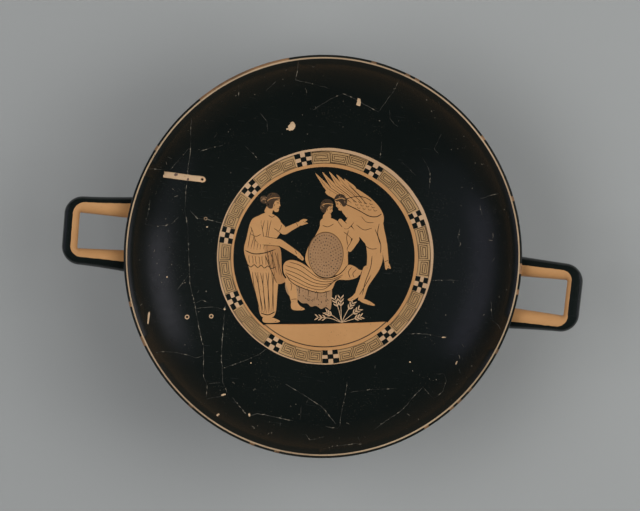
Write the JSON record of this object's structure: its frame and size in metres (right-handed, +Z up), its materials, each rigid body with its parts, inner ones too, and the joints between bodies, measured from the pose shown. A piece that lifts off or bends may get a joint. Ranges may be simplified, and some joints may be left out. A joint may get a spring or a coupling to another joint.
{
  "type": "stemmed drinking cup (kylix)",
  "caption": "Wide shallow clay cup on a slender stem and disc foot, with two looped side handles and a painted round picture inside.",
  "frame": {"origin": "centre of the foot's resting ring, on the table", "axes": "+X out through one handle, -X through the other, +Z up out of the bowl"},
  "size_m": [0.3924, 0.3018, 0.1209],
  "materials": {
    "black_gloss_clay": "black gloss slip over orange clay"
  },
  "bodies": {
    "root": {"kylix": "black_gloss_clay"}
  },
  "joints": []
}
